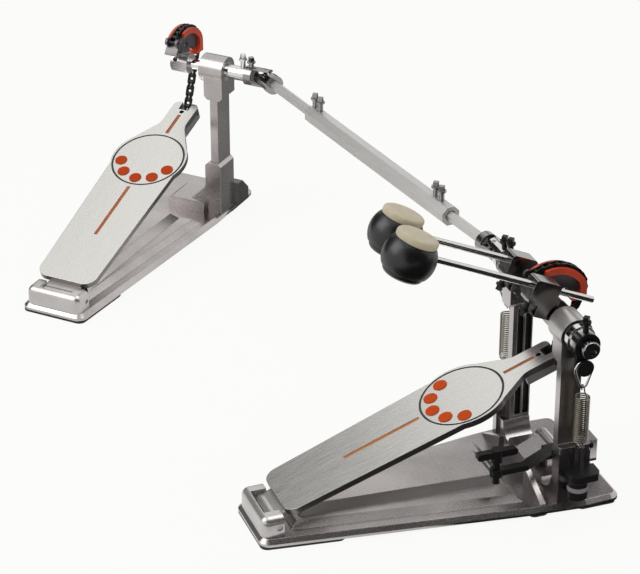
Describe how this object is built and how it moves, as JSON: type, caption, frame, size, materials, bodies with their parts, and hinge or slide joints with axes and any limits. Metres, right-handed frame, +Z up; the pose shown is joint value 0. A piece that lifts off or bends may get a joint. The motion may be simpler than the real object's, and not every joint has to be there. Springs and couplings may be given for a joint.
{
  "type": "double bass drum pedal",
  "caption": "Twin bass drum pedal: a two-beater pedal with chain cam drive, and a slave pedal linked to it by a jointed drive shaft.",
  "frame": {"origin": "on the floor under the middle of the primary pedal's axle", "axes": "+X to the player's right along the primary axle, +Y from heel to drum, +Z up"},
  "size_m": [0.8973, 0.4606, 0.3204],
  "materials": {
    "cast_metal": "satin cast",
    "board_metal": "brushed along the board",
    "black_rubber": "matte",
    "bright_steel": "bright plated",
    "tube_metal": "satin anodised",
    "black_metal": "satin black",
    "chain_black": "blackened steel",
    "cam_orange": "satin orange-red",
    "dot_orange": "matte grip",
    "head_black": "satin",
    "felt_cream": "hard felt"
  },
  "bodies": {
    "frame": {"primary_base_plate": "cast_metal", "slave_base_plate": "cast_metal", "floor_pads": "black_rubber", "heel_blocks": "cast_metal", "hinge_pins": "bright_steel", "primary_left_post": "cast_metal", "primary_right_post": "cast_metal", "primary_cross_foot": "cast_metal", "slave_post": "cast_metal", "axle_bearings": "bright_steel", "slave_toe_bracket": "cast_metal", "spring_stirrups": "bright_steel", "spring_tension_knobs": "black_metal", "frame_screws": "black_metal"},
    "hoop_lever": {"hoop_clamp_lever": "black_metal", "hoop_clamp_pad": "black_rubber"},
    "wing_bolt": {"hoop_wing_bolt": "black_metal"},
    "primary_board": {"primary_footboard": "board_metal", "primary_hinge_leaf": "cast_metal", "primary_grip_dots": "dot_orange"},
    "slave_board": {"slave_footboard": "board_metal", "slave_hinge_leaf": "cast_metal", "slave_grip_dots": "dot_orange"},
    "right_axle_assembly": {"right_axle": "bright_steel", "primary_cam_hub": "cast_metal", "primary_cam_track": "cam_orange", "primary_chain_wrap": "chain_black", "right_beater_holder": "black_metal", "right_beater_rod": "bright_steel", "right_beater_head": "head_black", "right_beater_felt": "felt_cream", "right_spring_rocker": "black_metal", "right_key_screws": "bright_steel"},
    "left_axle_assembly": {"left_axle": "bright_steel", "left_beater_holder": "black_metal", "left_beater_rod": "bright_steel", "left_beater_head": "head_black", "left_beater_felt": "felt_cream", "left_spring_rocker": "black_metal", "left_key_screws": "bright_steel"},
    "slave_axle_assembly": {"slave_axle": "bright_steel", "slave_cam_hub": "cast_metal", "slave_cam_track": "cam_orange", "slave_chain_wrap": "chain_black"},
    "drive_shaft": {"drive_shaft_tube": "tube_metal", "drive_shaft_rods": "bright_steel", "drive_shaft_yokes": "bright_steel", "shaft_key_screws": "bright_steel"},
    "slave_cross": {"slave_joint_cross": "bright_steel"},
    "primary_cross": {"primary_joint_cross": "bright_steel"},
    "right_spring_body": {"right_spring": "bright_steel"},
    "right_ring_body": {"right_spring_ring": "bright_steel"},
    "left_spring_body": {"left_spring": "bright_steel"},
    "left_ring_body": {"left_spring_ring": "bright_steel"},
    "primary_chain_high_links": {"primary_chain_high": "chain_black"},
    "primary_chain_low_links": {"primary_chain_low": "chain_black"},
    "primary_chain_run_links": {"primary_chain_run": "chain_black"},
    "slave_chain_high_links": {"slave_chain_high": "chain_black"},
    "slave_chain_low_links": {"slave_chain_low": "chain_black"},
    "slave_chain_run_links": {"slave_chain_run": "chain_black"}
  },
  "joints": [
    {"name": "right_beater_swing", "type": "hinge", "parent": "frame", "child": "right_axle_assembly", "pos_m": [0, 0, 0.196], "axis": [-1, 0, 0], "range_deg": [0, 40.5], "stiffness_Nm_per_rad": 1.2, "springref_deg": -25.78},
    {"name": "left_beater_swing", "type": "hinge", "parent": "frame", "child": "left_axle_assembly", "pos_m": [0, 0, 0.196], "axis": [-1, 0, 0], "range_deg": [0, 40.46], "stiffness_Nm_per_rad": 1.2, "springref_deg": -25.78},
    {"name": "slave_axle_turn", "type": "hinge", "parent": "frame", "child": "slave_axle_assembly", "pos_m": [-0.706, -0.155, 0.196], "axis": [-0.7278, -0.6858, 0], "range_deg": [0, 43.32]},
    {"name": "drive_shaft_turn", "type": "hinge", "parent": "frame", "child": "drive_shaft", "pos_m": [-0.62376, -0.0775, 0.196], "axis": [-0.9883, -0.1527, 0], "range_deg": [0, 40.04]},
    {"name": "slave_cross_tilt", "type": "hinge", "parent": "slave_axle_assembly", "child": "slave_cross", "pos_m": [-0.62376, -0.0775, 0.196], "axis": [-0.1426, 0.1513, 0.9781], "range_deg": [0, 12.57]},
    {"name": "primary_cross_tilt", "type": "hinge", "parent": "left_axle_assembly", "child": "primary_cross", "pos_m": [-0.122, 0, 0.196], "axis": [0, 0.2924, -0.9563], "range_deg": [0, 0.3576]},
    {"name": "primary_footboard_hinge", "type": "hinge", "parent": "frame", "child": "primary_board", "pos_m": [0, -0.294, 0.019], "axis": [-1, 0, 0], "range_deg": [0, 6.32]},
    {"name": "primary_chain_high_pin", "type": "hinge", "parent": "right_axle_assembly", "child": "primary_chain_high_links", "pos_m": [0, 0.03883, 0.21682], "axis": [1, 0, 0], "range_deg": [0, 16.21]},
    {"name": "primary_chain_low_pin", "type": "hinge", "parent": "primary_chain_high_links", "child": "primary_chain_low_links", "pos_m": [0, 0.03983, 0.20937], "axis": [1, 0, 0], "range_deg": [0, 21.69]},
    {"name": "primary_chain_toe_pin", "type": "hinge", "parent": "primary_board", "child": "primary_chain_run_links", "pos_m": [0, 0.00644, 0.13382], "axis": [1, 0, 0], "range_deg": [0, 14.52]},
    {"name": "slave_footboard_hinge", "type": "hinge", "parent": "frame", "child": "slave_board", "pos_m": [-0.50437, -0.36897, 0.019], "axis": [-0.7278, -0.6858, 0], "range_deg": [0, 6.52]},
    {"name": "slave_chain_high_pin", "type": "hinge", "parent": "slave_axle_assembly", "child": "slave_chain_high_links", "pos_m": [-0.73228, -0.12711, 0.21816], "axis": [0.7278, 0.6858, 0], "range_deg": [0, 17.55]},
    {"name": "slave_chain_low_pin", "type": "hinge", "parent": "slave_chain_high_links", "child": "slave_chain_low_links", "pos_m": [-0.73334, -0.12599, 0.2108], "axis": [0.7278, 0.6858, 0], "range_deg": [0, 21.69]},
    {"name": "slave_chain_toe_pin", "type": "hinge", "parent": "slave_board", "child": "slave_chain_run_links", "pos_m": [-0.71238, -0.14823, 0.12602], "axis": [0.7278, 0.6858, 0], "range_deg": [0, 13.26]},
    {"name": "right_spring_tilt", "type": "hinge", "parent": "frame", "child": "right_spring_body", "pos_m": [0.0885, 0, 0.082], "axis": [1, 0, 0], "range_deg": [0, 9.72]},
    {"name": "right_ring_slide", "type": "slide", "parent": "right_spring_body", "child": "right_ring_body", "axis": [0, 0, 1], "range_m": [0, 0.00739], "deforming": ["right_spring"]},
    {"name": "left_spring_tilt", "type": "hinge", "parent": "frame", "child": "left_spring_body", "pos_m": [-0.0885, 0, 0.082], "axis": [1, 0, 0], "range_deg": [0, 9.71]},
    {"name": "left_ring_slide", "type": "slide", "parent": "left_spring_body", "child": "left_ring_body", "axis": [0, 0, 1], "range_m": [0, 0.00737], "deforming": ["left_spring"]},
    {"name": "hoop_lever_pivot", "type": "hinge", "parent": "frame", "child": "hoop_lever", "pos_m": [0, 0.002, 0.042], "axis": [1, 0, 0], "range_deg": [0, 7]},
    {"name": "wing_bolt_turn", "type": "hinge", "parent": "hoop_lever", "child": "wing_bolt", "pos_m": [0.058, -0.075, 0.0676], "axis": [0, 0, 1], "continuous": true}
  ],
  "couplings": [
    {"joint": "slave_axle_turn", "follows": "left_beater_swing", "ratio": 1.0703},
    {"joint": "drive_shaft_turn", "follows": "left_beater_swing", "ratio": 0.98928},
    {"joint": "slave_cross_tilt", "follows": "left_beater_swing", "ratio": 0.31017},
    {"joint": "primary_cross_tilt", "follows": "left_beater_swing", "ratio": 0.0083438},
    {"joint": "primary_footboard_hinge", "follows": "right_beater_swing", "ratio": 0.1556},
    {"joint": "primary_chain_high_pin", "follows": "right_beater_swing", "ratio": 0.39981},
    {"joint": "primary_chain_low_pin", "follows": "right_beater_swing", "ratio": 0.53512},
    {"joint": "primary_chain_toe_pin", "follows": "right_beater_swing", "ratio": 0.35809},
    {"joint": "slave_footboard_hinge", "follows": "left_beater_swing", "ratio": 0.16074},
    {"joint": "slave_chain_high_pin", "follows": "left_beater_swing", "ratio": 0.43331},
    {"joint": "slave_chain_low_pin", "follows": "left_beater_swing", "ratio": 0.53569},
    {"joint": "slave_chain_toe_pin", "follows": "left_beater_swing", "ratio": 0.3273},
    {"joint": "right_spring_tilt", "follows": "right_beater_swing", "ratio": 0.2395},
    {"joint": "right_ring_slide", "follows": "right_beater_swing", "m_per_rad": 0.010423},
    {"joint": "left_spring_tilt", "follows": "left_beater_swing", "ratio": 0.23958},
    {"joint": "left_ring_slide", "follows": "left_beater_swing", "m_per_rad": 0.010413}
  ]
}
